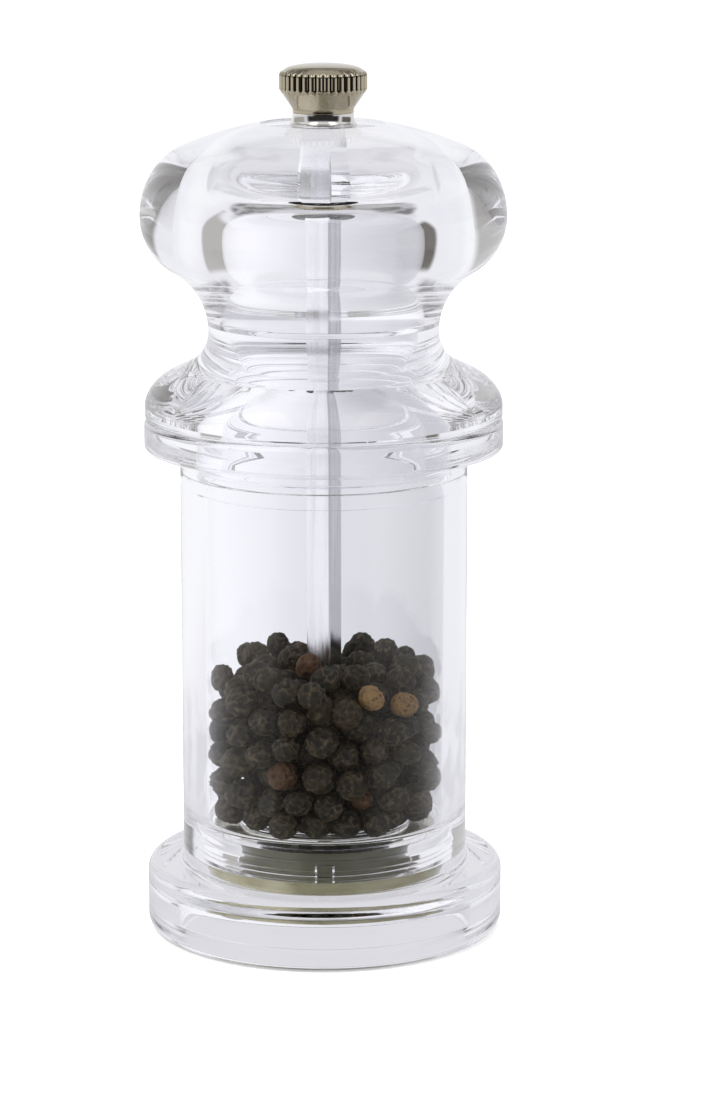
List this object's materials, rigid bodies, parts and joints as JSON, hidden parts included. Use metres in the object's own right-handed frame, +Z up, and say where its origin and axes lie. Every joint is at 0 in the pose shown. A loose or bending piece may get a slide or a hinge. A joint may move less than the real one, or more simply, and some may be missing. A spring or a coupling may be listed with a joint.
{
  "type": "pepper mill",
  "caption": "Clear acrylic pepper mill: hollow flanged body with peppercorns, bulbed head, square spindle, conical steel grinder and knurled adjusting knob.",
  "frame": {"origin": "centre of the base on the surface that the mill stands on", "axes": "+Z up along the turning axis, -Y towards the front"},
  "size_m": [0.0582, 0.0582, 0.1402],
  "materials": {
    "acrylic": "clear polished acrylic",
    "nickel_plate": "bright nickel plate over brass",
    "bar_aluminium": "drawn aluminium bar, satin",
    "hardened_steel": "hardened steel with a thin olive-grey oil finish",
    "bright_steel": "bright zinc-plated steel",
    "yellow_zinc": "pale yellow passivated zinc plate",
    "peppercorn": "dry wrinkled black peppercorns"
  },
  "bodies": {
    "body": {"body": "acrylic", "grinder_ring": "hardened_steel", "guide_spider": "bright_steel", "carrier_ring": "yellow_zinc", "retaining_plate": "yellow_zinc", "plate_screws": "bright_steel", "peppercorns": "peppercorn"},
    "drive": {"spring_washer": "bright_steel", "grind_spring": "bright_steel"},
    "spindle": {"spindle": "bar_aluminium", "grinder_rotor": "hardened_steel", "rotor_washer": "bright_steel", "rotor_screw": "bright_steel"},
    "head": {"head": "acrylic", "head_ferrule": "nickel_plate"},
    "knob": {"adjust_knob": "nickel_plate"}
  },
  "joints": [
    {"name": "mill_turn", "type": "hinge", "parent": "body", "child": "drive", "pos_m": [0, 0, 0.014], "axis": [0, 0, 1], "continuous": true},
    {"name": "spindle_adjust", "type": "slide", "parent": "drive", "child": "spindle", "axis": [0, 0, 1], "range_m": [-0.0015, 0.0008], "deforming": ["grind_spring"]},
    {"name": "head_lift", "type": "slide", "parent": "drive", "child": "head", "axis": [0, 0, 1], "range_m": [0, 0.066]},
    {"name": "knob_turn", "type": "hinge", "parent": "head", "child": "knob", "pos_m": [0, 0, 0.136], "axis": [0, 0, 1], "range_deg": [-360, 720]}
  ],
  "couplings": [
    {"joint": "spindle_adjust", "follows": "knob_turn", "m_per_rad": -0.00011141}
  ]
}
